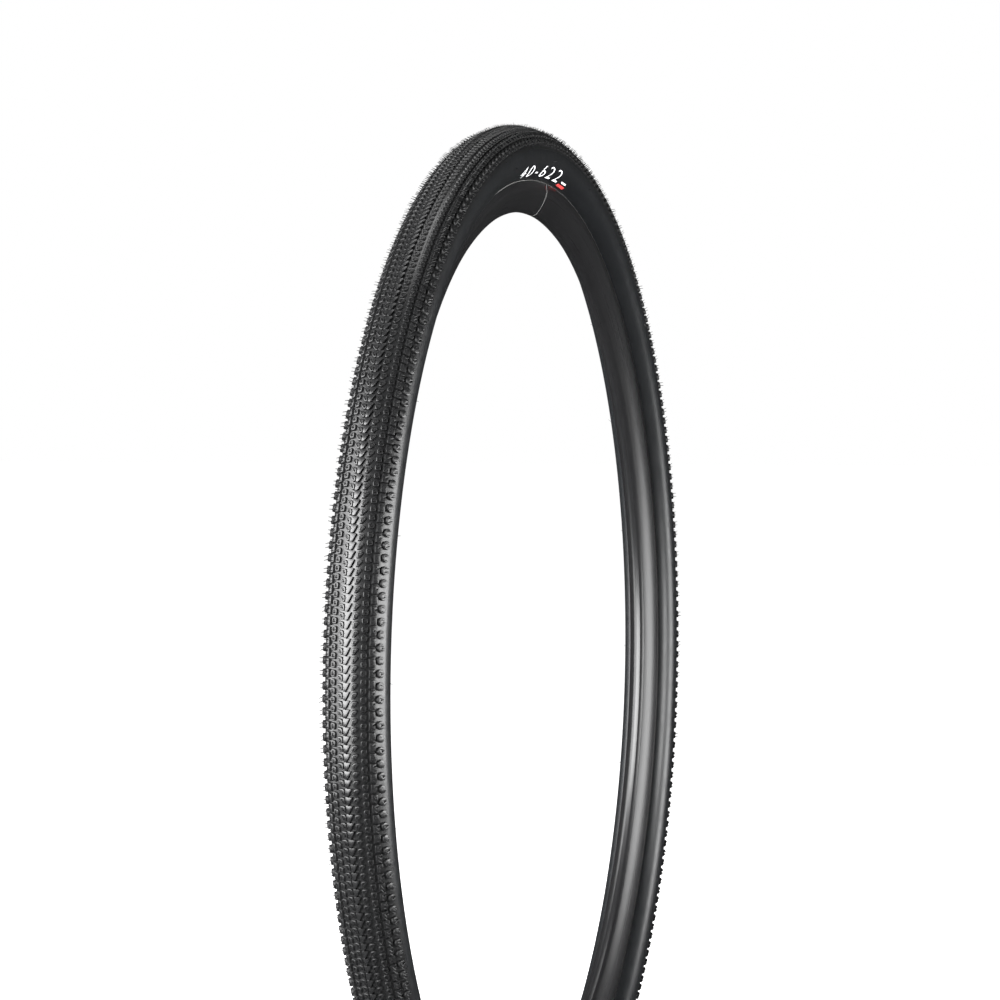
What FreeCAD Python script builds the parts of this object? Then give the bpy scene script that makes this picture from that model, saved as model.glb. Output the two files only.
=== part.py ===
"""Bicycle tyre 40-622 with its bead wires, casing plies, breaker, tread and sidewalls,
seated on the plain double-wall hoop that holds it round.

Frame: origin at the wheel centre, axle along +Y, +Z up, millimetres.
Left is the +Y side and right is the -Y side. Every ring is one section, drawn with Y across
the tyre and Z outwards from the axle, turned about the Y axis.
"""
import FreeCAD, Part
import math
import os
import Sketcher
from FreeCAD import Placement, Rotation, Vector

AXLE = Vector(0, 1, 0)
SIDES = {"left": 1, "right": -1}

doc = FreeCAD.newDocument("bicycle_tyre")


# ---------------------------------------------------------------- driving sizes
SIZES = (
    # tyre
    ("tyre_radius", 351.0, "axle to the top of the centre ridge"),
    ("section_width", 38.0, "width over both sidewalls"),
    ("tread_height", 1.9, "centre ridge above the tread cap"),
    ("cap_thickness", 1.6, "tread cap over the casing at the crown"),
    ("cap_half_angle", 74.0, "crown to the edge of the cap, degrees round the section"),
    ("sidewall_rubber", 0.7, "rubber over the casing at the widest point"),
    ("ply_thickness", 0.45, "one rubber-coated nylon ply"),
    ("breaker_thickness", 0.6, "puncture strip under the cap"),
    ("breaker_half_angle", 33.0, "crown to the edge of the puncture strip, degrees"),
    # bead
    ("section_height", 40.0, "bead seat to the top of the centre ridge"),
    ("bead_foot", 3.6, "width of the bead on its seat"),
    ("chafer_side", 0.5, "chafer cloth against the flange"),
    ("chafer_foot", 0.4, "chafer cloth on the seat"),
    ("wire_diameter", 0.95, "bead wire"),
    ("wire_pitch", 1.0, "turn to turn in the wire bundle"),
    ("wire_clearance", 0.2, "filler between the ply foot and the first turn"),
    # hoop
    ("rim_inner_width", 16.4, "between the flanges"),
    ("flange_height", 4.6, "flange above the bead seat"),
    ("flange_wall", 1.4, "flange thickness at its tip"),
    ("rim_half_width", 10.1, "half of the widest part of the hoop"),
    ("rim_waist_drop", 1.5, "bead seat to the widest part of the hoop"),
    ("rim_depth", 16.5, "bead seat to the flat land inside the hoop"),
    ("rim_land_width", 5.0, "flat land inside the hoop"),
    ("rim_flank_arc", 36.0, "section radius of the hoop's flanks"),
    ("rim_wall", 1.4, "hoop wall"),
    ("rim_well_width", 7.2, "floor of the well between the bead seats"),
    ("rim_well_depth", 2.4, "well below the bead seats"),
    ("rim_well_slope", 1.0, "width of the well's slope"),
    ("rim_land_ease", 0.7, "eased corner between each flank and the land"),
    ("flange_ease", 0.4, "eased corners of the flange tips"),
    ("seam_angle", 4.5, "joint seam from the top towards +X, degrees"),
    ("seam_gap", 0.15, "gap between the hoop's butted ends"),
    ("sleeve_length", 50.0, "joint sleeve inside the seam, along the hoop"),
    # tread
    ("segments", 72, "repeats of the tread pattern round the tyre"),
    ("ridge_foot", 4.4, "centre ridge where it leaves the cap"),
    ("ridge_top", 3.8, "centre ridge at its top"),
    ("ridge_gap", 0.18, "centre ridge to the inner row of knobs, at their feet"),
    ("knob_root", 0.15, "how deep a knob's foot is moulded into the cap"),
    ("knob_draft", 0.25, "how much narrower a knob's top is, on the radius"),
    # sidewall trim
    ("vent_count", 24, "moulding vents round each sidewall"),
    ("vent_length", 1.1, "rubber hair left by a vent"),
    ("vent_radius", 0.35, "hair at its foot"),
    ("vent_tip_radius", 0.12, "hair at its tip"),
    ("vent_drop", 8.0, "vents below the widest point, degrees round the lower arc"),
    ("vent_phase", 1.5, "first vent from the top towards +X, degrees"),
    ("label_film", 0.12, "printed transfer on the sidewall"),
    ("label_length", 93.0, "size marking along the sidewall"),
    ("label_rise", 2.1, "flange tip to the lower edge of the marking"),
    ("label_height", 7.2, "marking, measured outwards from the axle"),
    ("label_angle", -1.8, "middle of the marking from the top towards +X, degrees"),
    ("tab_length", 15.0, "small coloured tab behind the marking"),
    ("tab_gap", 5.5, "marking to tab"),
    ("tab_rise", 1.2, "flange tip to the lower edge of the tab"),
    ("tab_height", 1.4, "tab, measured outwards from the axle"),
)

# One line per row of knobs, from the ridge outwards. The inner row has no angle of its own:
# it stands off the ridge by the ridge gap.
KNOB_ROWS = (
    ("inner", 6, None, 1.70, 1.5, 0.5),
    ("middle", 6, 27.5, 1.95, 1.5, 0.0),
    ("outer", 5, 42.3, 2.20, 1.6, 0.5),
    ("shoulder", 4, 58.5, 2.75, 1.7, 0.0),
)
KNOB_SIZES = (
    ("per_segment", "knobs in one segment"),
    ("row_angle", "degrees from the crown, round the section"),
    ("foot_radius", "knob at its foot"),
    ("rise", "knob above the cap"),
    ("phase", "start of the row, as a share of its pitch"),
)

# Sizes that follow from the ones above, as formulas of the second sheet.
DERIVED = (
    ("bead_seat_radius", "Sizes.tyre_radius - Sizes.section_height"),
    ("rim_waist_radius", "bead_seat_radius - Sizes.rim_waist_drop"),
    ("rim_inner_radius", "bead_seat_radius - Sizes.rim_depth"),
    ("cap_arc", "Sizes.section_width / 2"),
    ("cap_centre", "Sizes.tyre_radius - Sizes.tread_height - cap_arc"),
    ("ply_arc", "cap_arc - Sizes.sidewall_rubber"),
    ("ply_centre", "Sizes.tyre_radius - Sizes.tread_height - Sizes.cap_thickness - ply_arc"),
    ("ply_mid", "ply_arc - Sizes.ply_thickness"),
    ("ply_inside", "ply_arc - 2 * Sizes.ply_thickness"),
    # bead: faces across the tyre and radii from the axle
    ("seat_half", "Sizes.rim_inner_width / 2"),
    ("flange_tip", "bead_seat_radius + Sizes.flange_height"),
    ("ply_face", "seat_half - Sizes.chafer_side"),
    ("core_face", "ply_face - Sizes.ply_thickness"),
    ("toe", "seat_half - Sizes.bead_foot"),
    ("core_toe", "toe + Sizes.ply_thickness"),
    ("foot_low", "bead_seat_radius + Sizes.chafer_foot"),
    ("foot_high", "foot_low + Sizes.ply_thickness"),
    ("ply_entry", "flange_tip + Sizes.sidewall_rubber"),
    # lower arcs: tangent at the widest point, and through the bead's corner
    ("skin_arc", "((cap_arc - seat_half)^2 + (cap_centre - flange_tip)^2) / (2 * (cap_arc - seat_half))"),
    ("skin_centre", "cap_arc - skin_arc"),
    ("turn_arc", "((ply_arc - ply_face)^2 + (ply_centre - ply_entry)^2) / (2 * (ply_arc - ply_face))"),
    ("turn_centre", "ply_arc - turn_arc"),
    ("turn_mid", "turn_arc - Sizes.ply_thickness"),
    ("turn_inside", "turn_arc - 2 * Sizes.ply_thickness"),
    ("core_top", "ply_centre - sqrt(turn_mid^2 - (core_face - turn_centre)^2)"),
    ("core_toe_top", "ply_centre - sqrt(turn_mid^2 - (core_toe - turn_centre)^2)"),
    ("toe_top", "ply_centre - sqrt(turn_inside^2 - (toe - turn_centre)^2)"),
    # cap and breaker edges
    ("cap_edge_y", "cap_arc * sin(Sizes.cap_half_angle * 1 deg)"),
    ("cap_edge_r", "cap_centre + cap_arc * cos(Sizes.cap_half_angle * 1 deg)"),
    ("cap_root_y", "ply_arc * sin(Sizes.cap_half_angle * 1 deg)"),
    ("cap_root_r", "ply_centre + ply_arc * cos(Sizes.cap_half_angle * 1 deg)"),
    ("breaker_arc", "ply_arc + Sizes.breaker_thickness"),
    ("breaker_low_y", "ply_arc * sin(Sizes.breaker_half_angle * 1 deg)"),
    ("breaker_low_r", "ply_centre + ply_arc * cos(Sizes.breaker_half_angle * 1 deg)"),
    ("breaker_high_y", "breaker_arc * sin(Sizes.breaker_half_angle * 1 deg)"),
    ("breaker_high_r", "ply_centre + breaker_arc * cos(Sizes.breaker_half_angle * 1 deg)"),
    ("ridge_foot_half", "Sizes.ridge_foot / 2"),
    ("ridge_foot_r", "cap_centre + sqrt(cap_arc^2 - ridge_foot_half^2)"),
    ("inner_row_reach", "ridge_foot_half + Sizes.ridge_gap + Sizes.inner_foot_radius"),
    ("inner_row_angle", "asin(inner_row_reach / cap_arc) / 1 deg"),
    # hoop
    ("land_half", "Sizes.rim_land_width / 2"),
    ("flange_face", "seat_half + Sizes.flange_wall"),
    ("well_half", "Sizes.rim_well_width / 2"),
    ("well_floor", "bead_seat_radius - Sizes.rim_well_depth"),
    ("flank_y", "Sizes.rim_half_width - land_half"),
    ("flank_r", "rim_waist_radius - rim_inner_radius"),
    ("flank_half", "sqrt(flank_y^2 + flank_r^2) / 2"),
    ("flank_share", "sqrt(Sizes.rim_flank_arc^2 - flank_half^2) / (2 * flank_half)"),
    ("flank_centre_y", "(Sizes.rim_half_width + land_half) / 2 - flank_share * flank_r"),
    ("flank_centre_r", "(rim_waist_radius + rim_inner_radius) / 2 + flank_share * flank_y"),
    ("land_flat", "land_half - Sizes.rim_land_ease"),
    ("ease_r", "rim_inner_radius + Sizes.rim_land_ease"),
    ("ease_y", "flank_centre_y + sqrt(Sizes.rim_flank_arc^2 - (ease_r - flank_centre_r)^2)"),
    ("hollow_arc", "Sizes.rim_flank_arc - Sizes.rim_wall"),
    ("hollow_top", "well_floor - Sizes.rim_wall"),
    ("hollow_low", "rim_inner_radius + Sizes.rim_wall"),
    ("hollow_top_y", "flank_centre_y + sqrt(hollow_arc^2 - (hollow_top - flank_centre_r)^2)"),
    ("hollow_low_y", "flank_centre_y + sqrt(hollow_arc^2 - (hollow_low - flank_centre_r)^2)"),
)


def make_sheet(name, rows):
    """A spreadsheet with one aliased cell per row, and a note beside it."""
    sheet = doc.addObject("Spreadsheet::Sheet", name)
    for line, (alias, content, note) in enumerate(rows, start=1):
        sheet.set(f"A{line}", alias)
        sheet.set(f"B{line}", str(content))
        sheet.setAlias(f"B{line}", alias)
        sheet.set(f"C{line}", note)
    return sheet


knob_cells = [
    (f"{row[0]}_{key}", number, note)
    for row in KNOB_ROWS
    for (key, note), number in zip(KNOB_SIZES, row[1:])
    if number is not None
]
sizes = make_sheet("Sizes", list(SIZES) + knob_cells)
derived = make_sheet("Derived", [(alias, "=" + formula, "") for alias, formula in DERIVED])
doc.recompute()


def size(name):
    """A driving size as a plain number."""
    return float(sizes.get(name))


def worked(name):
    """A derived size as a plain number."""
    return float(derived.get(name))


# ---------------------------------------------------------------- section rings
def number(expression):
    return float(derived.evalExpression(expression))


def arc(centre_y, centre_r, radius):
    """An edge that bends round a centre; a plain edge is None."""
    return (centre_y, centre_r, radius)


def on_side(bend, side):
    """The same bend on the left (side 1) or mirrored to the right (side -1)."""
    return bend and (f"{side} * ({bend[0]})", bend[1], bend[2])


def one_side(outline, side):
    """A closed outline put on the left (side 1) or on the right (side -1)."""
    return [(f"{side} * ({y})", r, on_side(bend, side)) for y, r, bend in outline]


def both_sides(half, closing=None):
    """The left half of an outline and its mirror image; a corner at y "0" is shared."""
    mirror = []
    for index in reversed(range(len(half))):
        y, r, _ = half[index]
        back = half[index - 1][2] if index else closing
        mirror.append((f"-({y})", r, on_side(back, -1)))
    outline = list(half)
    if half[-1][0] == "0":
        outline[-1] = ("0", half[-1][1], mirror.pop(0)[2])
    if half[0][0] == "0":
        mirror.pop()
    return outline + mirror


def bent_edge(start, end, bend):
    """The shorter arc from start to end round the bend's centre."""
    centre = Vector(number(bend[0]), number(bend[1]), 0)
    first = math.atan2(start.y - centre.y, start.x - centre.x)
    last = math.atan2(end.y - centre.y, end.x - centre.x)
    turn = (last - first) % (2 * math.pi)
    circle = Part.Circle(centre, Vector(0, 0, 1), (start - centre).Length)
    if turn <= math.pi:
        return Part.ArcOfCircle(circle, first, first + turn), (1, 2)
    return Part.ArcOfCircle(circle, last, last + 2 * math.pi - turn), (2, 1)


def draw(sketch, outline):
    """Close one outline in a sketch and bind each corner and each arc to the sheets."""
    corners = [Vector(number(y), number(r), 0) for y, r, _ in outline]
    ends = []
    for index, (_, _, bend) in enumerate(outline):
        start, end = corners[index], corners[(index + 1) % len(corners)]
        if bend:
            shape, order = bent_edge(start, end, bend)
        else:
            shape, order = Part.LineSegment(start, end), (1, 2)
        edge = sketch.addGeometry(shape, False)
        ends.append((edge, order))
    for index, (edge, order) in enumerate(ends):
        following, next_order = ends[(index + 1) % len(ends)]
        sketch.addConstraint(
            Sketcher.Constraint("Coincident", edge, order[1], following, next_order[0]))
    for (edge, order), corner, (y, r, bend) in zip(ends, corners, outline):
        for kind, at, expression in (("DistanceX", corner.x, y), ("DistanceY", corner.y, r)):
            held = sketch.addConstraint(Sketcher.Constraint(kind, edge, order[0], at))
            sketch.setExpression(f"Constraints[{held}]", expression)
        if bend:
            held = sketch.addConstraint(Sketcher.Constraint("Radius", edge, number(bend[2])))
            sketch.setExpression(f"Constraints[{held}]", bend[2])


def ring(label, *outlines, sweep="360", start="0"):
    """A body turned about the axle from one section, which may have a hollow in it.

    sweep and start are degrees; the ring starts at the top and runs towards +X.
    """
    body = doc.addObject("PartDesign::Body", label)
    body.Label = label
    sketch = body.newObject("Sketcher::SketchObject", label + "_section")
    plane = [f for f in body.Origin.OriginFeatures if f.Role == "YZ_Plane"][0]
    sketch.AttachmentSupport = [(plane, "")]
    sketch.MapMode = "FlatFace"
    for outline in outlines:
        draw(sketch, outline)
    turn = body.newObject("PartDesign::Revolution", label + "_turn")
    turn.Profile = sketch
    turn.ReferenceAxis = (sketch, ["H_Axis"])
    turn.setExpression("Angle", sweep)
    body.Placement = Placement(Vector(), Rotation(AXLE, number(start)))
    body.setExpression("Placement.Rotation.Angle", start)
    body.Tip = turn
    sketch.Visibility = False
    doc.recompute()
    return body


# ---------------------------------------------------------------- hoop
# Aluminium double-wall section: two flanges, two bead seats, a well and a hollow.
hoop_half = [
    ("Derived.well_half", "Derived.well_floor", None),
    ("Derived.well_half + Sizes.rim_well_slope", "Derived.bead_seat_radius", None),
    ("Derived.seat_half", "Derived.bead_seat_radius", None),
    ("Derived.seat_half", "Derived.flange_tip - Sizes.flange_ease", None),
    ("Derived.seat_half + Sizes.flange_ease", "Derived.flange_tip", None),
    ("Derived.flange_face - Sizes.flange_ease", "Derived.flange_tip", None),
    ("Derived.flange_face", "Derived.flange_tip - Sizes.flange_ease", None),
    ("Sizes.rim_half_width", "Derived.rim_waist_radius",
     arc("Derived.flank_centre_y", "Derived.flank_centre_r", "Sizes.rim_flank_arc")),
    ("Derived.ease_y", "Derived.ease_r", None),
    ("Derived.land_flat", "Derived.rim_inner_radius", None),
]
hollow_half = [
    ("Derived.hollow_top_y", "Derived.hollow_top",
     arc("Derived.flank_centre_y", "Derived.flank_centre_r", "Derived.hollow_arc")),
    ("Derived.hollow_low_y", "Derived.hollow_low", None),
]
SLEEVE_TURN = "Sizes.sleeve_length / Derived.rim_inner_radius * 180 / pi"

hoop_blank = ring("hoop_blank", both_sides(hoop_half), both_sides(hollow_half))

# The hoop is rolled from one length and its ends are butted, with a hair's gap between them.
seam = doc.addObject("Part::Box", "seam_gap_cutter")
seam.setExpression("Length", "Sizes.seam_gap")
seam.setExpression("Width", "2 * Sizes.rim_half_width + 2 * Sizes.rim_wall")
seam.setExpression("Height", "Derived.flange_tip - Derived.rim_inner_radius + 2 * Sizes.rim_wall")
reach = worked("rim_inner_radius") - size("rim_wall")
corner = Vector(-size("seam_gap") / 2, -size("rim_half_width") - size("rim_wall"), reach)
seam_turn = Rotation(AXLE, size("seam_angle"))
seam.Placement = Placement(seam_turn.multVec(corner), seam_turn)
rim_hoop = doc.addObject("Part::Cut", "rim_hoop")
rim_hoop.Label = "rim_hoop"
rim_hoop.Base = hoop_blank
rim_hoop.Tool = seam

# The sleeve is pressed into the hollow across the seam, half of it in each end.
ring(
    "joint_sleeve",
    both_sides(hollow_half),
    sweep=SLEEVE_TURN,
    start=f"Sizes.seam_angle - {SLEEVE_TURN} / 2",
)


# ---------------------------------------------------------------- casing
# Two bias plies. The outer one turns under each wire bundle, the inner one ends on its foot.
def crown(radius):
    return arc("0", "Derived.ply_centre", radius)


def turn_in(radius):
    return arc("Derived.turn_centre", "Derived.ply_centre", radius)


ring("ply_outer", both_sides([
    ("0", "Derived.ply_centre + Derived.ply_arc", crown("Derived.ply_arc")),
    ("Derived.ply_arc", "Derived.ply_centre", turn_in("Derived.turn_arc")),
    ("Derived.ply_face", "Derived.ply_entry", None),
    ("Derived.ply_face", "Derived.foot_low", None),
    ("Derived.toe", "Derived.foot_low", None),
    ("Derived.toe", "Derived.foot_high", None),
    ("Derived.core_face", "Derived.foot_high", None),
    ("Derived.core_face", "Derived.core_top", turn_in("Derived.turn_mid")),
    ("Derived.ply_mid", "Derived.ply_centre", crown("Derived.ply_mid")),
    ("0", "Derived.ply_centre + Derived.ply_mid", None),
]))

ring("ply_inner", both_sides([
    ("0", "Derived.ply_centre + Derived.ply_mid", crown("Derived.ply_mid")),
    ("Derived.ply_mid", "Derived.ply_centre", turn_in("Derived.turn_mid")),
    ("Derived.core_toe", "Derived.core_toe_top", None),
    ("Derived.core_toe", "Derived.foot_high", None),
    ("Derived.toe", "Derived.foot_high", None),
    ("Derived.toe", "Derived.toe_top", turn_in("Derived.turn_inside")),
    ("Derived.ply_inside", "Derived.ply_centre", crown("Derived.ply_inside")),
    ("0", "Derived.ply_centre + Derived.ply_inside", None),
]))


# ---------------------------------------------------------------- beads
# Six turns of steel wire in a hard rubber filler, with a woven chafer against the rim.
WIRE_COLUMNS = 2
WIRE_TURNS = 3


def wire_turns(side_name, side):
    """Six closed turns of bead wire, as one group."""
    turns = []
    for column in range(WIRE_COLUMNS):
        for turn in range(WIRE_TURNS):
            wire = doc.addObject("Part::Torus", f"wire_{side_name}_{column + 1}_{turn + 1}")
            offset = column - (WIRE_COLUMNS - 1) / 2
            place = f"(Derived.core_toe + Derived.core_face) / 2 + {offset} * Sizes.wire_pitch"
            climb = f"Sizes.wire_clearance + Sizes.wire_diameter / 2 + {turn} * Sizes.wire_pitch"
            wire.setExpression("Radius1", f"Derived.foot_high + {climb}")
            wire.setExpression("Radius2", "Sizes.wire_diameter / 2")
            wire.Placement = Placement(Vector(), Rotation(Vector(1, 0, 0), 90))
            wire.setExpression("Placement.Base.y", f"{side} * ({place})")
            turns.append(wire)
    group = doc.addObject("Part::Compound", f"bead_wire_{side_name}")
    group.Label = f"bead_wire_{side_name}"
    group.Links = turns
    return group


for side_name, side in SIDES.items():
    wires = wire_turns(side_name, side)
    blank = ring(f"filler_blank_{side_name}", one_side([
        ("Derived.core_toe", "Derived.foot_high", None),
        ("Derived.core_face", "Derived.foot_high", None),
        ("Derived.core_face", "Derived.core_top", turn_in("Derived.turn_mid")),
        ("Derived.core_toe", "Derived.core_toe_top", None),
    ], side))
    filler = doc.addObject("Part::Cut", f"bead_filler_{side_name}")
    filler.Label = f"bead_filler_{side_name}"
    filler.Base = blank
    filler.Tool = wires

    ring(f"chafer_{side_name}", one_side([
        ("Derived.toe", "Derived.bead_seat_radius", None),
        ("Derived.seat_half", "Derived.bead_seat_radius", None),
        ("Derived.seat_half", "Derived.flange_tip", None),
        ("Derived.ply_face", "Derived.flange_tip", None),
        ("Derived.ply_face", "Derived.foot_low", None),
        ("Derived.toe", "Derived.foot_low", None),
    ], side))

    # Thin side rubber, from the tread cap down to the rim flange.
    ring(f"sidewall_{side_name}", one_side([
        ("Derived.cap_edge_y", "Derived.cap_edge_r", arc("0", "Derived.cap_centre", "Derived.cap_arc")),
        ("Derived.cap_arc", "Derived.cap_centre",
         arc("Derived.skin_centre", "Derived.cap_centre", "Derived.skin_arc")),
        ("Derived.seat_half", "Derived.flange_tip", None),
        ("Derived.ply_face", "Derived.flange_tip", None),
        ("Derived.ply_face", "Derived.ply_entry", turn_in("Derived.turn_arc")),
        ("Derived.ply_arc", "Derived.ply_centre", crown("Derived.ply_arc")),
        ("Derived.cap_root_y", "Derived.cap_root_r", None),
    ], side))


# ---------------------------------------------------------------- breaker and tread cap
breaker_half = [
    ("Derived.breaker_high_y", "Derived.breaker_high_r", None),
    ("Derived.breaker_low_y", "Derived.breaker_low_r", crown("Derived.ply_arc")),
]
breaker = ring("breaker_belt", both_sides(breaker_half, crown("Derived.breaker_arc")))

cap_half = [
    ("Derived.cap_edge_y", "Derived.cap_edge_r", None),
    ("Derived.cap_root_y", "Derived.cap_root_r", crown("Derived.ply_arc")),
]
cap_blank = ring("cap_blank", both_sides(cap_half, arc("0", "Derived.cap_centre", "Derived.cap_arc")))
tread_cap = doc.addObject("Part::Cut", "tread_cap")
tread_cap.Label = "tread_cap"
tread_cap.Base = cap_blank
tread_cap.Tool = breaker

ring("centre_ridge", both_sides([
    ("Sizes.ridge_top / 2", "Sizes.tyre_radius", None),
    ("Derived.ridge_foot_half", "Derived.ridge_foot_r",
     arc("0", "Derived.cap_centre", "Derived.cap_arc")),
]))


# ---------------------------------------------------------------- rows of knobs and vents
def turned_copies(seed, label, count, first=0.0):
    """A group of equal solids, set round the axle from one seed."""
    row = doc.addObject("Part::Feature", label)
    row.Label = label
    step = 360.0 / count
    row.Shape = Part.makeCompound([
        seed.Shape.rotated(Vector(), AXLE, first + index * step) for index in range(count)])
    row.Placement = Placement()
    return row


def outward(degrees, side):
    """Direction away from the middle of the section, degrees from the crown."""
    angle = math.radians(degrees)
    return Vector(0, side * math.sin(angle), math.cos(angle))


def row_angle(row_name):
    """Where a row of knobs stands, degrees from the crown."""
    if row_name == "inner":
        return worked("inner_row_angle")
    return size(f"{row_name}_row_angle")


def knob_row(row_name, side_name, side):
    """Round knobs with a little draft, rooted in the tread cap."""
    knob = doc.addObject("Part::Cone", f"knob_{row_name}_{side_name}")
    knob.setExpression("Radius1", f"Sizes.{row_name}_foot_radius")
    knob.setExpression("Radius2", f"Sizes.{row_name}_foot_radius - Sizes.knob_draft")
    knob.setExpression("Height", f"Sizes.{row_name}_rise + Sizes.knob_root")
    direction = outward(row_angle(row_name), side)
    foot = Vector(0, 0, worked("cap_centre")) + direction * (worked("cap_arc") - size("knob_root"))
    knob.Placement = Placement(foot, Rotation(Vector(0, 0, 1), direction))
    doc.recompute()
    count = int(size("segments") * size(f"{row_name}_per_segment"))
    pitch = 360.0 / count
    return turned_copies(knob, f"{row_name}_knobs_{side_name}", count,
                         size(f"{row_name}_phase") * pitch)


for side_name, side in SIDES.items():
    for row in KNOB_ROWS:
        knob_row(row[0], side_name, side)

    hair = doc.addObject("Part::Cone", f"hair_{side_name}")
    hair.setExpression("Radius1", "Sizes.vent_radius")
    hair.setExpression("Radius2", "Sizes.vent_tip_radius")
    hair.setExpression("Height", "Sizes.vent_length")
    direction = outward(90 + size("vent_drop"), side)
    middle = Vector(0, side * worked("skin_centre"), worked("cap_centre"))
    hair.Placement = Placement(
        middle + direction * worked("skin_arc"), Rotation(Vector(0, 0, 1), direction))
    doc.recompute()
    turned_copies(hair, f"vent_hairs_{side_name}", int(size("vent_count")), size("vent_phase"))


# ---------------------------------------------------------------- markings
def film(label, side, low, high, sweep, start):
    """A thin transfer on the lower sidewall, between two heights above the flange tip."""
    def edge(rise, lift):
        drop = f"(Derived.cap_centre - Derived.flange_tip - ({rise}))"
        return (f"Derived.skin_centre + sqrt((Derived.skin_arc + {lift})^2 - {drop}^2)",
                f"Derived.flange_tip + {rise}")
    below, above = "0", "Sizes.label_film"
    return ring(label, one_side([
        (*edge(high, below), arc("Derived.skin_centre", "Derived.cap_centre", "Derived.skin_arc")),
        (*edge(low, below), None),
        (*edge(low, above), arc("Derived.skin_centre", "Derived.cap_centre",
                                "Derived.skin_arc + Sizes.label_film")),
        (*edge(high, above), None),
    ], side), sweep=sweep, start=start)


TURN_PER_MM = "180 / pi / Derived.cap_centre"
LABEL_TURN = f"Sizes.label_length * {TURN_PER_MM}"
TAB_TURN = f"Sizes.tab_length * {TURN_PER_MM}"
GAP_TURN = f"Sizes.tab_gap * {TURN_PER_MM}"
for side_name, side in SIDES.items():
    film(f"size_marking_{side_name}", side, "Sizes.label_rise", "Sizes.label_rise + Sizes.label_height",
         LABEL_TURN, f"Sizes.label_angle - {LABEL_TURN} / 2")
    film(f"colour_tab_{side_name}", side, "Sizes.tab_rise", "Sizes.tab_rise + Sizes.tab_height",
         TAB_TURN, f"Sizes.label_angle + {LABEL_TURN} / 2 + {GAP_TURN}")


# ---------------------------------------------------------------- check and write
NODES = (
    ["rim_hoop", "joint_sleeve", "ply_outer", "ply_inner", "breaker_belt", "tread_cap", "centre_ridge"]
    + [f"{piece}_{side}" for side in SIDES for piece in (
        "bead_wire", "bead_filler", "chafer", "sidewall", "inner_knobs", "middle_knobs",
        "outer_knobs", "shoulder_knobs", "vent_hairs", "size_marking", "colour_tab")]
)

doc.recompute()
for item in doc.Objects:
    if {"Invalid", "Error"} & set(item.State):
        raise RuntimeError(f"{item.Name} did not build: {item.State}")

shapes = {}
for node in NODES:
    shape = doc.getObjectsByLabel(node)[0].Shape
    if shape.isNull() or not shape.isValid() or shape.Volume <= 0:
        raise RuntimeError(f"{node} has no valid solid")
    shapes[node] = shape

os.makedirs("parts", exist_ok=True)
for node, shape in shapes.items():
    shape.exportStep(os.path.join("parts", node + ".step"))
    print(f"{node}: {len(shape.Solids)} solid(s), {shape.Volume:.1f} mm3")
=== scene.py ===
import math
import random

import bmesh
import bpy
from mathutils import Matrix, Vector


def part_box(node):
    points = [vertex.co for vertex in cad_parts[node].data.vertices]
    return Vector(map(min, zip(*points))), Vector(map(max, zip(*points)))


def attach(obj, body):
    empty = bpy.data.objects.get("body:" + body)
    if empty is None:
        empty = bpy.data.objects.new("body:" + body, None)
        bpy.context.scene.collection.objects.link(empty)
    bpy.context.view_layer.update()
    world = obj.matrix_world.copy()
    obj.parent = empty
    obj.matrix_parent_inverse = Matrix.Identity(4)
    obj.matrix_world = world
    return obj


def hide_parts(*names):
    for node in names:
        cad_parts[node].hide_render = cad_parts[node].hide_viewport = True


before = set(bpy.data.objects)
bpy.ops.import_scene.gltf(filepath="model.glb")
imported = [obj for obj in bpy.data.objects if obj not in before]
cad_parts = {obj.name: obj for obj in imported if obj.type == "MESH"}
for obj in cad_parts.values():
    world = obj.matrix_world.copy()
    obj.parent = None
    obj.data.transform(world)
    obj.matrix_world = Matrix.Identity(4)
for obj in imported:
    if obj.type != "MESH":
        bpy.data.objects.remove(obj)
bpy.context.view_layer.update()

# ---------------------------------------------------------------- rim hoop
# A rolled aluminium extrusion, anodised satin black and left undrilled, its ends butted at a seam.
# Its two flanges hold the beads in, and its flanks round into a narrow flat land inside.
MM = 0.001
TURN = 2 * math.pi
AXLE = (0.0, 1.0, 0.0)
flange_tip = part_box("chafer_left")[1][2]
seat_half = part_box("chafer_left")[1][1]
hoop_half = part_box("rim_hoop")[1][1]
hoop_waist = flange_tip - 6.1 * MM
hoop_land = flange_tip - 21.1 * MM
hoop_land_half = 2.5 * MM
hoop_flank_arc = 36.0 * MM
hoop_steps = 360
seam_angle = math.radians(4.3)
seam_gap = 0.16 * MM


def arc_points(centre, radius, first, last, count):
    """Points round a centre of the (y, r) section; angles in degrees from the +r direction."""
    points = []
    for index in range(count):
        angle = math.radians(first + (last - first) * index / (count - 1))
        points.append((centre[0] + radius * math.sin(angle), centre[1] + radius * math.cos(angle)))
    return points


def finished(name, bm, sharp=40.0):
    """An object at the origin made from a bmesh, with smooth faces and crisp corners."""
    bmesh.ops.recalc_face_normals(bm, faces=bm.faces)
    mesh = bpy.data.meshes.new(name)
    bm.to_mesh(mesh)
    bm.free()
    mesh.polygons.foreach_set("use_smooth", [True] * len(mesh.polygons))
    mesh.set_sharp_from_angle(angle=math.radians(sharp))
    piece = bpy.data.objects.new(name, mesh)
    bpy.context.scene.collection.objects.link(piece)
    return piece


def drawn(outline):
    """A closed (y, r) outline as corners and edges, at the top of the wheel."""
    bm = bmesh.new()
    corners = [bm.verts.new((0.0, y, r)) for y, r in outline]
    edges = [bm.edges.new((corners[i - 1], corners[i])) for i in range(len(corners))]
    return bm, corners + edges


def mirrored(half):
    """A left half of an outline, closed by its mirror image on the right."""
    return half + [(-y, r) for y, r in reversed(half)]


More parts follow.
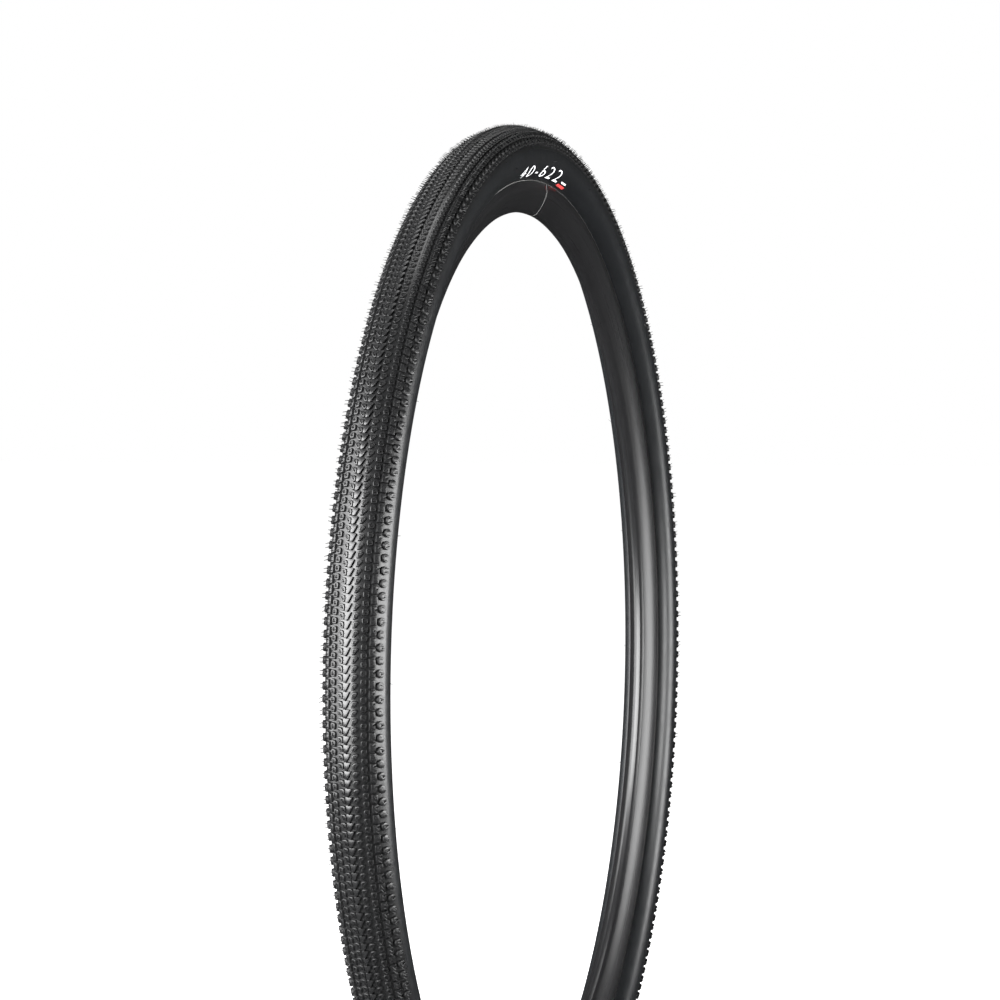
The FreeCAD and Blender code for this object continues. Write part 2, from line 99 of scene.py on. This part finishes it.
def set_up(piece, slot, nodes, *materials):
    """Finishes and body for the piece, and hide the plain CAD nodes that it stands for; slot is not
    used.
    """
    for material in materials:
        piece.data.materials.append(material)
    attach(piece, "root")
    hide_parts(*nodes)


class Finish:
    """A node material that is built up link by link."""

    def __init__(self, name):
        self.material = bpy.data.materials.new(name)
        self.material.use_nodes = True
        self.nodes = self.material.node_tree.nodes
        self.links = self.material.node_tree.links
        self.shader = self.nodes["Principled BSDF"]
        self.place = self.nodes.new("ShaderNodeTexCoord").outputs["Object"]

    def node(self, kind, inputs=None, **settings):
        made = self.nodes.new(kind)
        for key, value in settings.items():
            setattr(made, key, value)
        for key, value in (inputs or {}).items():
            if isinstance(value, bpy.types.NodeSocket):
                self.links.new(value, made.inputs[key])
            else:
                made.inputs[key].default_value = value
        return made

    def noise(self, scale, detail=3.0, roughness=0.55, place=None):
        return self.node("ShaderNodeTexNoise", {
            "Vector": place or self.place, "Scale": scale, "Detail": detail,
            "Roughness": roughness}).outputs["Fac"]

    def math(self, operation, first, second=0.0):
        return self.node("ShaderNodeMath", {0: first, 1: second}, operation=operation).outputs[0]

    def round_axle(self, along, across, outwards):
        """Place as (distance round the tyre, across it, radius), each times its own scale."""
        x, y, z = self.node("ShaderNodeSeparateXYZ", {0: self.place}).outputs
        radius = self.math("SQRT", self.math("ADD", self.math("MULTIPLY", x, x),
                                             self.math("MULTIPLY", z, z)))
        around = self.math("ARCTAN2", x, z)
        return self.node("ShaderNodeCombineXYZ", {
            0: self.math("MULTIPLY", around, along * flange_tip),
            1: self.math("MULTIPLY", y, across),
            2: self.math("MULTIPLY", radius, outwards)}).outputs[0]

    def spread(self, value, low, high):
        return self.node("ShaderNodeMapRange", {
            "Value": value, "From Min": 0.3, "From Max": 0.7, "To Min": low, "To Max": high}).outputs[0]

    def blend(self, share, first, second):
        mix = self.node("ShaderNodeMix", {0: share}, data_type="RGBA")
        mix.inputs[6].default_value = (*first, 1.0)
        mix.inputs[7].default_value = (*second, 1.0)
        return mix.outputs[2]

    def bump(self, height, distance, strength):
        return self.node("ShaderNodeBump", {
            "Height": height, "Distance": distance, "Strength": strength}).outputs["Normal"]

    def give(self, **sockets):
        for key, value in sockets.items():
            socket = self.shader.inputs[key.replace("_", " ")]
            if isinstance(value, bpy.types.NodeSocket):
                self.links.new(value, socket)
            elif isinstance(value, tuple):
                socket.default_value = (*value, 1.0)
            else:
                socket.default_value = value
        return self.material


def metal_finish(name, dark, light, low, high, metallic):
    """Extruded aluminium with faint drawing marks that run round the hoop."""
    f = Finish(name)
    marks = f.noise(1.0, 4.0, 0.6, f.round_axle(6.0, 2600.0, 2600.0))
    return f.give(Base_Color=f.blend(f.noise(14.0, 2.0), dark, light), Metallic=metallic,
                  Roughness=f.spread(marks, low, high), Normal=f.bump(marks, 0.012 * MM, 0.3))


def flank_points(count):
    """The hoop's flank, an arc from its widest point down to the edge of the land."""
    top = Vector((hoop_half, hoop_waist))
    low = Vector((hoop_land_half, hoop_land))
    across = low - top
    lift = math.sqrt(hoop_flank_arc ** 2 - (across.length / 2) ** 2)
    centre = (top + low) / 2 + Vector((across.y, -across.x)).normalized() * lift
    first, last = (math.degrees(math.atan2(end.x - centre.x, end.y - centre.y)) for end in (top, low))
    return arc_points(centre, hoop_flank_arc, first, last, count)


flange_wall = 1.4 * MM
flange_height = 4.6 * MM
flange_ease = 0.5 * MM
ease_middle = 0.15 * MM
flange_outer = seat_half + flange_wall
well_half = 3.6 * MM
well_slope = 1.0 * MM
well_floor = flange_tip - 7.0 * MM
flank_steps = 14
land_ease = ((0.1, 0.55), (0.7, 0.12), (1.4, 0.0))
hoop_outline = mirrored([
    (well_half, well_floor),
    (well_half + well_slope, flange_tip - flange_height),
    (seat_half, flange_tip - flange_height),
    (seat_half, flange_tip - flange_ease),
    (seat_half + ease_middle, flange_tip - ease_middle),
    (seat_half + flange_ease, flange_tip),
    (flange_outer - flange_ease, flange_tip),
    (flange_outer - ease_middle, flange_tip - ease_middle),
    (flange_outer, flange_tip - flange_ease),
    *flank_points(flank_steps)[:-1],
    *[(hoop_land_half - inset * MM, hoop_land + lift * MM) for inset, lift in land_ease],
])
bm, section = drawn(hoop_outline)
near_end = bm.faces.new([item for item in section if isinstance(item, bmesh.types.BMVert)])
gap_turn = seam_gap / hoop_waist
bmesh.ops.rotate(bm, verts=bm.verts, matrix=Matrix.Rotation(seam_angle + gap_turn / 2, 3, "Y"))
last = bmesh.ops.spin(bm, geom=section, cent=(0, 0, 0), axis=AXLE, angle=TURN - gap_turn,
                      steps=hoop_steps)["geom_last"]
far_end = bm.faces.new([item for item in last if isinstance(item, bmesh.types.BMVert)])
# The bevelled seam ends and the rounded outer corner of each flange tip take a light grey metal. On the
# flange tips this is a painted highlight, a line of light caught along the edge. At the seam it is bare
# aluminium at the cut ends, and a painted highlight as well.
seam_bevel = 0.28 * MM
bmesh.ops.bevel(bm, geom=list(near_end.edges) + list(far_end.edges), offset=seam_bevel, segments=2,
                affect="EDGES", profile=0.5, material=1)
highlight_edge_low = flange_tip - 0.55 * MM
for face in bm.faces:
    middle = face.calc_center_median()
    if math.hypot(middle.x, middle.z) > highlight_edge_low and abs(middle.y) > flange_outer - flange_ease:
        face.material_index = 1
hoop = finished("hoop", bm, 30.0)
set_up(hoop, "hoop_black", ["rim_hoop"],
       metal_finish("black anodising", (0.005, 0.005, 0.0055), (0.009, 0.009, 0.0095), 0.26, 0.36, 0.0),
       metal_finish("bare edge and painted highlight", (0.17, 0.17, 0.165), (0.24, 0.24, 0.235), 0.4, 0.52, 0.35))


# ---------------------------------------------------------------- joint sleeve
# A short sleeve of bare extruded aluminium with the section of the hoop's hollow. It is pressed
# half into each end of the hoop, so that it bridges the seam from inside.
def dress(node, material):
    """Give a plain CAD node that stays in view a material of its own."""
    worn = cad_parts[node].data.materials
    worn.clear()
    worn.append(material)


dress("joint_sleeve",
      metal_finish("mill aluminium", (0.5, 0.5, 0.51), (0.6, 0.6, 0.61), 0.3, 0.45, 1.0))


# ---------------------------------------------------------------- casing, breaker and chafers
# Nylon cords in rubber, laid on the bias and crossed from ply to ply. A closer weave of tougher
# yarn lies under the crown, and a square-woven cloth wraps each bead.
def cord_finish(name, yarn, gum, pitch, lean, weave=False):
    """Cords that lie at a slant round the tyre, with a second set across them in a weave."""
    f = Finish(name)
    place = f.round_axle(1.0, 1.0, 0.0)
    sets = []
    for turn in (lean, lean + math.pi / 2) if weave else (lean,):
        laid = f.node("ShaderNodeMapping", {"Vector": place, "Rotation": (0, 0, turn)}).outputs[0]
        sets.append(f.node("ShaderNodeTexWave", {
            "Vector": laid, "Scale": math.pi / (10 * pitch), "Distortion": 0.4,
            "Detail": 1.0}, wave_profile="SIN").outputs["Fac"])
    cords = f.math("MAXIMUM", sets[0], sets[-1])
    fuzz = f.noise(3000.0)
    return f.give(Base_Color=f.blend(cords, gum, yarn), Roughness=f.spread(fuzz, 0.55, 0.75),
                  Normal=f.bump(cords, 0.12 * MM, 0.6))


woven = {
    "ply_outer": cord_finish("outer ply cords", (0.045, 0.042, 0.038), (0.013, 0.013, 0.013),
                             0.42 * MM, math.radians(45)),
    "ply_inner": cord_finish("inner ply cords", (0.05, 0.046, 0.041), (0.013, 0.013, 0.013),
                             0.42 * MM, math.radians(-45)),
    "breaker_belt": cord_finish("breaker weave", (0.42, 0.31, 0.1), (0.05, 0.04, 0.02),
                                0.7 * MM, math.radians(45), weave=True),
    "chafer_left": cord_finish("chafer cloth", (0.03, 0.03, 0.03), (0.01, 0.01, 0.01),
                               0.5 * MM, 0.0, weave=True),
}
woven["chafer_right"] = woven["chafer_left"]
for node, material in woven.items():
    dress(node, material)

# ---------------------------------------------------------------- beads
# Six turns of brassed steel wire on each side, held in a wedge of hard black rubber. The outer
# ply is folded round them, which locks the tyre on to the hoop.
SIDES = {"left": 1, "right": -1}


def bead_finishes():
    wire = Finish("brassed wire")
    drawn_marks = wire.noise(1.0, 3.0, 0.6, wire.round_axle(8.0, 4000.0, 4000.0))
    wire.give(Base_Color=wire.blend(wire.noise(60.0), (0.52, 0.42, 0.26), (0.6, 0.55, 0.44)),
              Metallic=1.0, Roughness=wire.spread(drawn_marks, 0.25, 0.42))
    wedge = Finish("filler rubber")
    wedge.give(Base_Color=wedge.blend(wedge.noise(40.0), (0.014, 0.014, 0.014), (0.022, 0.022, 0.021)),
               Roughness=wedge.spread(wedge.noise(220.0), 0.5, 0.65),
               Normal=wedge.bump(wedge.noise(1400.0), 0.04 * MM, 0.4))
    return wire.material, wedge.material


for part, material in zip(("bead_wire", "bead_filler"), bead_finishes()):
    for side_name in SIDES:
        dress(f"{part}_{side_name}", material)

# ---------------------------------------------------------------- tread base
# One skin of tread rubber, pressed and cured over the casing in the mould. It is as thin as the
# smooth gaps between the knobs, and runs down to the shoulders.
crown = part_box("centre_ridge")[1][2]
cap_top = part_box("tread_cap")[1][2]
half_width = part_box("sidewall_left")[1][1]
arc_centre = cap_top - half_width
cap_edge = 74.0
cap_skin = 0.7 * MM
ring_steps = 432


def spun(outline, steps):
    """A closed (y, r) outline turned once round the axle."""
    bm, section = drawn(outline)
    bmesh.ops.spin(bm, geom=section, cent=(0, 0, 0), axis=AXLE, angle=TURN, steps=steps,
                   use_merge=True)
    bmesh.ops.remove_doubles(bm, verts=bm.verts, dist=0.002 * MM)
    return bm


def rubber_finish(name, dark, light, low, high, grain, gloss=0.5):
    """Black rubber: a fine moulded grain, a little bloom and an uneven satin shine."""
    f = Finish(name)
    cloud = f.noise(38.0)
    return f.give(Base_Color=f.blend(cloud, dark, light), Roughness=f.spread(f.noise(160.0), low, high),
                  Normal=f.bump(f.noise(grain, 4.0, 0.6), 0.02 * MM, 0.4), Specular_IOR_Level=gloss)


tread_rubber = rubber_finish("tread rubber", (0.006, 0.006, 0.0063), (0.011, 0.0112, 0.0116),
                             0.26, 0.34, 2400.0)
# The knob walls are a duller rubber than the tops. Their darker colour is painted shade, for the walls
# that face away from the lamps.
dull_wall_rubber_painted_shade = rubber_finish("knob walls with painted shade", (0.004, 0.004, 0.0042), (0.0065, 0.0066, 0.007),
                            0.42, 0.52, 2400.0, gloss=0.35)
side_rubber = rubber_finish("sidewall rubber", (0.005, 0.0055, 0.0062), (0.008, 0.0088, 0.0098),
                            0.3, 0.38, 1500.0)

cap_outline = (arc_points((0, arc_centre), half_width, -cap_edge, cap_edge, 49)
               + arc_points((0, arc_centre), half_width - cap_skin, cap_edge, -cap_edge, 25))
tread_base = finished("tread_base", spun(cap_outline, ring_steps))
set_up(tread_base, "tread_rubber", ["tread_cap"], tread_rubber)

# ---------------------------------------------------------------- knobs
# Rows of small knobs moulded in one with the tread base: D-shapes beside the ridge, square blocks
# further out and round ones on the shoulder. Each keeps a thin hair where its mould was vented,
# and the outer two rows keep two.
segments = 72
sectors = 24
knob_root = 0.35 * MM
dimple_slope = 0.15 * MM
dimple_depth = 0.4 * MM
top_band_mm = 0.1
hair_stages = (0.4, 0.35, 0.25)
hair_curl = 1.4
hair_taper = 0.72
random.seed(40622)


def knob_seed(outline, rise, draft, ease=0.2, dimple=0.0, flare=1.06):
    """One knob from its outline in mm: u along the tread on X, outwards on Y, height on Z."""
    bm = bmesh.new()
    foot = bm.faces.new([bm.verts.new((u * flare * MM, w * flare * MM, -knob_root))
                         for u, w in outline])
    grown = bmesh.ops.extrude_face_region(bm, geom=[foot])["geom"]
    tops = [item for item in grown if isinstance(item, bmesh.types.BMVert)]
    bmesh.ops.translate(bm, verts=tops, vec=(0, 0, rise * MM + knob_root))
    bmesh.ops.scale(bm, verts=tops, vec=(draft, draft, 1))
    top = [item for item in grown if isinstance(item, bmesh.types.BMFace)][0]
    bmesh.ops.bevel(bm, geom=list(top.edges), offset=ease * MM, segments=2, affect="EDGES",
                    profile=0.5, material=-1)
    if dimple:
        top = max(bm.faces, key=lambda face: face.calc_center_median().z)
        bmesh.ops.inset_individual(bm, faces=[top], thickness=dimple * MM, depth=0)
        bmesh.ops.inset_individual(bm, faces=[top], thickness=dimple_slope, depth=-dimple_depth)
    # Faces below the top band take the second material: the walls, with their painted shade.
    for face in bm.faces:
        face.material_index = int(face.calc_center_median().z < (rise - top_band_mm) * MM)
    return bm


def hair_seed(length, foot, lean, root, finish=1):
    """A slim rubber hair that stands at a root point and leans over more as it rises."""
    bm = bmesh.new()
    tip = bmesh.ops.create_circle(bm, cap_ends=True, segments=4, radius=foot)["verts"]
    bmesh.ops.translate(bm, verts=tip, vec=Vector(root))
    for share in hair_stages:
        face = [f for f in bm.faces if all(corner in tip for corner in f.verts)][0]
        grown = bmesh.ops.extrude_discrete_faces(bm, faces=[face])["faces"]
        tip = list(grown[0].verts)
        bmesh.ops.translate(bm, verts=tip, vec=(lean[0] * share * length, lean[1] * share * length,
                                                length * share))
        lean = (lean[0] * hair_curl, lean[1] * hair_curl)
        middle = grown[0].calc_center_median()
        bmesh.ops.scale(bm, verts=tip, vec=(hair_taper, hair_taper, hair_taper),
                        space=Matrix.Translation(-middle))
    # Hairs on the knobs take the second material, the wall rubber with its painted shade; the sidewall
    # hairs take the first.
    for face in bm.faces:
        face.material_index = finish
    return bm


def stood(bm, degrees, side, along, arc=half_width, centre=0.0):
    """Stand a seed on an arc of the section, degrees from the crown, turned along the tread."""
    angle = math.radians(degrees)
    normal = Vector((0, side * math.sin(angle), math.cos(angle)))
    across = Vector((0, side * math.cos(angle), -math.sin(angle)))
    place = Vector((0, side * centre, arc_centre)) + normal * arc
    stand = Matrix((Vector((1, 0, 0)), across, normal)).transposed().to_4x4()
    bmesh.ops.transform(bm, verts=bm.verts,
                        matrix=Matrix.Rotation(along, 4, "Y") @ Matrix.Translation(place) @ stand)
    return bm


def joined(parts):
    """Several bmeshes as one."""
    whole = bmesh.new()
    for part in parts:
        holder = bpy.data.meshes.new("holder")
        part.to_mesh(holder)
        part.free()
        whole.from_mesh(holder)
        bpy.data.meshes.remove(holder)
    return whole


def all_round(bm, count):
    """Repeat what is in a bmesh at equal steps round the axle."""
    bmesh.ops.spin(bm, geom=bm.verts[:] + bm.edges[:] + bm.faces[:], cent=(0, 0, 0), axis=AXLE,
                   angle=TURN * (count - 1) / count, steps=count - 1, use_duplicate=True)
    return bm


# Outlines in mm, u along the tread and w outwards from the crown.
cut_d = [(-2.05, -1.75), (0.6, -1.8), (1.5, -1.35), (1.95, -0.5), (2.05, 1.2), (1.7, 1.95),
         (1.0, 2.0), (-1.75, 0.05), (-2.1, -0.3)]
round_d = [(-1.7, -1.6), (0.8, -1.85), (1.6, -1.45), (2.0, -0.6), (2.05, 1.1), (1.5, 1.8),
           (-1.2, 1.85), (-1.9, 1.2), (-2.1, -0.9)]
block = [(-2.45, -1.9), (2.45, -1.9), (2.45, 1.5), (2.0, 1.95), (-2.0, 1.95), (-2.45, 1.5)]
slotted_block = [(-2.45, -1.9), (2.45, -1.9), (2.45, 1.5), (2.0, 1.95), (1.45, 1.95), (0.55, 0.25),
                 (0.0, 0.5), (0.75, 1.95), (-2.0, 1.95), (-2.45, 1.5)]
slotted_round = [(0.95, 2.35), (0.25, 0.55), (-0.5, 0.0), (-0.85, 0.45), (-0.3, 1.0), (0.1, 2.5),
                 (-1.3, 2.2), (-2.3, 1.2), (-2.55, -0.1), (-2.0, -1.6), (-0.8, -2.4), (0.7, -2.45),
                 (2.0, -1.6), (2.5, -0.3), (2.2, 1.3)]
pitted_round = [(1.2, 2.25), (0.9, 1.6), (0.3, 1.45), (-0.1, 1.9), (-0.1, 2.5),
                (-1.3, 2.2), (-2.3, 1.2), (-2.55, -0.1), (-2.0, -1.6), (-0.8, -2.4), (0.7, -2.45),
                (2.0, -1.6), (2.5, -0.3), (2.2, 1.3)]
# Row: knobs in a segment, degrees from the crown, phase as a share of the pitch, height in mm,
# draft, outlines in turn, rim round the dimple in mm (0 for none), shortest and longest hair in mm.
knob_rows = {
    "inner": (6, 12.4, 0.5, 1.5, 0.85, (cut_d,), 0.5, (1.2, 1.9)),
    "middle": (6, 27.5, 0.0, 1.25, 0.85, (round_d,), 0.55, (1.4, 2.2)),
    "outer": (5, 42.3, 0.5, 1.6, 0.9, (slotted_block, block), 0, (1.8, 2.9)),
    "shoulder": (4, 58.5, 0.0, 1.7, 0.92, (slotted_round, pitted_round), 0, (1.5, 2.6)),
}
hair_places = {"inner": (-0.5,), "middle": (-0.5,), "outer": (-1.3, 1.1), "shoulder": (-1.3, 1.1)}
hair_across = -0.6 * MM
hair_sunk_mm = 0.45
hair_foot = 0.36 * MM

for side_name, side in SIDES.items():
    for row, (per_segment, row_angle, phase, rise, draft, outlines, dimple, hairs) in knob_rows.items():
        count = segments * per_segment
        parts = []
        for index in range(count // sectors):
            along = (index + phase) * TURN / count
            outline = outlines[index % len(outlines)]
            parts.append(stood(knob_seed(outline, rise, draft, dimple=dimple), row_angle, side, along))
            lean = (random.uniform(-0.3, 0.1), random.uniform(-0.1, 0.3))
            length = random.uniform(*hairs) * MM
            for shift in hair_places[row]:
                root = (shift * MM, hair_across, (rise - hair_sunk_mm) * MM)
                hair = hair_seed(length + hair_sunk_mm * MM, hair_foot, lean, root)
                parts.append(stood(hair, row_angle, side, along))
        piece = finished(f"{row}_knobs_{side_name}_rubber", all_round(joined(parts), sectors), 38.0)
        set_up(piece, "tread_rubber", [f"{row}_knobs_{side_name}"], tread_rubber, dull_wall_rubber_painted_shade)

# ---------------------------------------------------------------- crown ridge
# A flat band along the crown. Its right edge is a row of long slanted teeth, each one starting
# from a small round hollow, and a fine nick across the left half parts one tooth from the next.
ridge_count = 432
pitch = TURN * crown / ridge_count / MM
ridge_block = [(0.05, 2.05), (0.05, 0.75), (0.35, 0.6), (0.52, 0.2), (4.3, -1.65), (4.7, -1.7),
               (pitch - 0.3, -0.2), (pitch - 0.5, 0.2), (pitch - 0.35, 0.6), (pitch - 0.05, 0.75),
               (pitch - 0.05, 2.05)]
ridge_rise = crown - cap_top
ridge_hair_foot = 0.2 * MM
ridge_hair_root = (2.4 * MM, 1.6 * MM, ridge_rise - 0.2 * MM)
ridge_parts = []
for index in range(ridge_count // sectors):
    along = index * TURN / ridge_count
    tooth = knob_seed(ridge_block, ridge_rise / MM, draft=1.0, ease=0.1, flare=1.0)
    ridge_parts.append(stood(tooth, 0.0, 1, along))
    lean = (random.uniform(-0.3, 0.3), random.uniform(-0.1, 0.4))
    hair = hair_seed(random.uniform(0.9, 2.2) * MM, ridge_hair_foot, lean, ridge_hair_root)
    ridge_parts.append(stood(hair, 0.0, 1, along))
ridge = finished("crown_blocks", all_round(joined(ridge_parts), sectors), 38.0)
set_up(ridge, "tread_rubber", ["centre_ridge"], tread_rubber, dull_wall_rubber_painted_shade)

# ---------------------------------------------------------------- sidewalls
# Thin smooth black rubber, cured on to the casing with the tread. It runs from under the shoulder
# knobs round the widest point and in to the hoop's flange.
drop = arc_centre - flange_tip
reach = half_width - seat_half
skin_arc = (reach ** 2 + drop ** 2) / (2 * reach)
skin_centre = half_width - skin_arc
skin_low = 90 + math.degrees(math.asin(drop / skin_arc))
skin_wall = 0.6 * MM
tuck = 0.12 * MM
for side_name, side in SIDES.items():
    outline = (arc_points((0, arc_centre), half_width - tuck, cap_edge - 1.0, 90, 6)[:-1]
               + arc_points((skin_centre, arc_centre), skin_arc, 92, skin_low, 22)
               + arc_points((skin_centre, arc_centre), skin_arc - skin_wall, skin_low, 90, 12)
               + arc_points((0, arc_centre), half_width - skin_wall, 90, cap_edge, 4)[1:])
    outline = [(side * y, r) for y, r in outline]
    wall = finished(f"sidewall_{side_name}_rubber", spun(outline, ring_steps))
    set_up(wall, "sidewall_rubber", [f"sidewall_{side_name}"], side_rubber)

# ---------------------------------------------------------------- sidewall hairs
# Rubber that was drawn into the vents in the mould's side plates as it cured. It is left on
# the finished tyre as a ring of short curled hairs on each sidewall.
vent_count = 24
vent_turn = math.radians(1.5)
vent_drop = 8.0
vent_foot = 0.22 * MM
vent_root = (0, 0, -0.1 * MM)
for side_name, side in SIDES.items():
    hairs = []
    for index in range(vent_count):
        lean = (random.uniform(-0.5, 0.5), random.uniform(-0.5, 0.3))
        hair = hair_seed(random.uniform(1.4, 2.6) * MM, vent_foot, lean, vent_root, finish=0)
        along = vent_turn + index * TURN / vent_count
        hairs.append(stood(hair, 90 + vent_drop, side, along, skin_arc, skin_centre))
    piece = finished(f"sidewall_hairs_{side_name}", joined(hairs), 60.0)
    set_up(piece, "sidewall_rubber", [f"vent_hairs_{side_name}"], side_rubber)

# ---------------------------------------------------------------- markings
# The tyre's size in plain white figures, a short white bar and a small red tab below it. They are
# printed on thin transfer films and pressed on to each sidewall, close to the hoop.
print_lift = 0.14 * MM
marking_span = 93.0 * MM
marking_turn = math.radians(-1.8)
marking_low = flange_tip + 2.1 * MM
marking_height = 7.2 * MM
mean_radius = arc_centre


def printed(bm, side, middle, low):
    """Wrap flat artwork (x along, y outwards, z thick) on to the lower sidewall."""
    step = 0.8 * MM
    heights = [vertex.co.y for vertex in bm.verts]
    for index in range(1, int((max(heights) - min(heights)) / step) + 1):
        everything = bm.verts[:] + bm.edges[:] + bm.faces[:]
        bmesh.ops.bisect_plane(bm, geom=everything, dist=0.001 * MM, plane_no=(0, 1, 0),
                               plane_co=(0, min(heights) + index * step, 0))
    for vertex in bm.verts:
        radius = low + vertex.co.y
        surface = skin_centre + math.sqrt(skin_arc ** 2 - (arc_centre - radius) ** 2)
        around = middle - side * vertex.co.x / mean_radius
        vertex.co = Vector((radius * math.sin(around), side * (surface + vertex.co.z),
                            radius * math.cos(around)))
    return bm


def bar(width, height):
    """A flat printed bar that stands on its lower edge."""
    bm = bmesh.new()
    bmesh.ops.create_cube(bm, size=1.0)
    bmesh.ops.scale(bm, verts=bm.verts, vec=(width, height, 2 * print_lift))
    bmesh.ops.translate(bm, verts=bm.verts, vec=(0, height / 2, 0))
    bmesh.ops.subdivide_edges(bm, cuts=3, edges=[
        edge for edge in bm.edges if abs(edge.verts[0].co.x - edge.verts[1].co.x) > width / 2])
    return bm


def figures():
    """The bead seat size as flat figures, stretched to the marking's length and height."""
    letters = bpy.data.curves.new("figures", "FONT")
    letters.body = "40-622"
    letters.extrude = 0.5
    letters.resolution_u = 4
    letters.space_character = 1.35
    letters.offset = -0.012
    holder = bpy.data.objects.new("figures", letters)
    bpy.context.scene.collection.objects.link(holder)
    bpy.context.view_layer.update()
    flat = bpy.data.meshes.new_from_object(holder)
    bm = bmesh.new()
    bm.from_mesh(flat)
    bpy.data.objects.remove(holder)
    bpy.data.curves.remove(letters)
    bpy.data.meshes.remove(flat)
    bmesh.ops.remove_doubles(bm, verts=bm.verts, dist=0.0005)
    bmesh.ops.triangulate(bm, faces=bm.faces)
    low = Vector([min(vertex.co[axis] for vertex in bm.verts) for axis in range(3)])
    high = Vector([max(vertex.co[axis] for vertex in bm.verts) for axis in range(3)])
    bmesh.ops.translate(bm, verts=bm.verts, vec=(-(low.x + high.x) / 2, -low.y, 0))
    bmesh.ops.scale(bm, verts=bm.verts, vec=(marking_span / (high.x - low.x),
                                             marking_height / (high.y - low.y), 2 * print_lift))
    return bm


def ink_finish(name, dark, light):
    """Printed ink with a faint mottle."""
    f = Finish(name)
    return f.give(Base_Color=f.blend(f.spread(f.noise(700.0, 4.0), 0.0, 1.0), dark, light),
                  Roughness=f.spread(f.noise(300.0), 0.4, 0.55),
                  Normal=f.bump(f.noise(1600.0), 0.02 * MM, 0.4))


white_ink = ink_finish("white print", (0.68, 0.69, 0.7), (0.84, 0.84, 0.84))
red_ink = ink_finish("red print", (0.55, 0.03, 0.03), (0.68, 0.05, 0.045))
tab_length = 15.0 * MM
tab_height = 1.1 * MM
tab_low = marking_low - 0.9 * MM
tab_gap = 5.5 * MM
tab_turn = marking_turn + (marking_span / 2 + tab_gap + tab_length / 2) / mean_radius
bar_length = 10.0 * MM
bar_height = 0.8 * MM
bar_low = marking_low + 1.1 * MM
for side_name, side in SIDES.items():
    white_bar = printed(bar(bar_length, bar_height), side, tab_turn, bar_low)
    marking = joined([printed(figures(), side, marking_turn, marking_low), white_bar])
    piece = finished(f"size_figures_{side_name}", marking)
    set_up(piece, "marking_white", [f"size_marking_{side_name}"], white_ink)
    tab = printed(bar(tab_length, tab_height), side, tab_turn, tab_low)
    piece = finished(f"red_tab_{side_name}", tab)
    set_up(piece, "tab_red", [f"colour_tab_{side_name}"], red_ink)

# ---------------------------------------------------------------- stage
# A plain white studio floor and background that carry on past the frame, five soft boxes round
# the wheel, and a long lens that looks at the tread and along the right sidewall.
floor_size = 30.0
floor_gap = 0.5 * MM
floor_maker = bmesh.new()
bmesh.ops.create_grid(floor_maker, x_segments=1, y_segments=1, size=floor_size)
bmesh.ops.translate(floor_maker, verts=floor_maker.verts, vec=(0, 0, -crown - floor_gap))
floor = finished("floor", floor_maker)
paint = Finish("pale floor")
floor.data.materials.append(paint.give(Base_Color=(0.9, 0.9, 0.9), Roughness=0.9,
                                       Emission_Color=(1.0, 1.0, 1.0), Emission_Strength=1.0))
floor.visible_glossy = False

world = bpy.data.worlds.new("studio")
bpy.context.scene.world = world
bpy.context.scene.view_settings.view_transform = "Standard"
world.use_nodes = True
air = world.node_tree.nodes
glow = air["Background"]
glow.inputs["Color"].default_value = (1, 1, 1, 1)
seen = air.new("ShaderNodeLightPath").outputs["Is Camera Ray"]
level = air.new("ShaderNodeMapRange")
level.inputs["To Min"].default_value = 0.02
level.inputs["To Max"].default_value = 1.0
world.node_tree.links.new(seen, level.inputs["Value"])
world.node_tree.links.new(level.outputs[0], glow.inputs["Strength"])


def softbox(name, place, width, height, radiance):
    """A rectangular soft light that faces the wheel."""
    light = bpy.data.lights.new(name, "AREA")
    light.shape = "RECTANGLE"
    light.size = width
    light.size_y = height
    light.energy = radiance * width * height * math.pi
    lamp = bpy.data.objects.new(name, light)
    lamp.location = place
    lamp.rotation_euler = (-Vector(place)).to_track_quat("-Z", "Y").to_euler()
    lamp.visible_camera = False
    bpy.context.scene.collection.objects.link(lamp)


softbox("front left box", (-2.85, 1.2, 0.65), 2.6, 3.0, 20.0)
softbox("left box", (-0.9, 3.0, 0.65), 2.6, 3.0, 8.0)
softbox("right box", (-0.25, -1.3, 0.1), 0.5, 0.8, 13.0)
softbox("right strip", (1.1, -2.7, 0.1), 1.2, 1.4, 11.0)
softbox("top box", (0.3, 0.0, 3.0), 1.2, 1.2, 5.0)

azimuth, elevation = math.radians(-73.016), math.radians(1.391)
distance = 2.6273
right = Vector((math.cos(azimuth), math.sin(azimuth), 0))
back = Vector((math.sin(azimuth) * math.cos(elevation), -math.cos(azimuth) * math.cos(elevation),
               math.sin(elevation)))
up = back.cross(right)
target = right * -0.01449 + up * 0.10651
lens = bpy.data.cameras.new("view")
lens.lens = 144.18
lens.sensor_width = 36.0
lens.clip_end = 100.0
camera = bpy.data.objects.new("view", lens)
camera.matrix_world = Matrix.Translation(target + back * distance) @ Matrix(
    (right, up, back)).transposed().to_4x4()
bpy.context.scene.collection.objects.link(camera)
bpy.context.scene.camera = camera
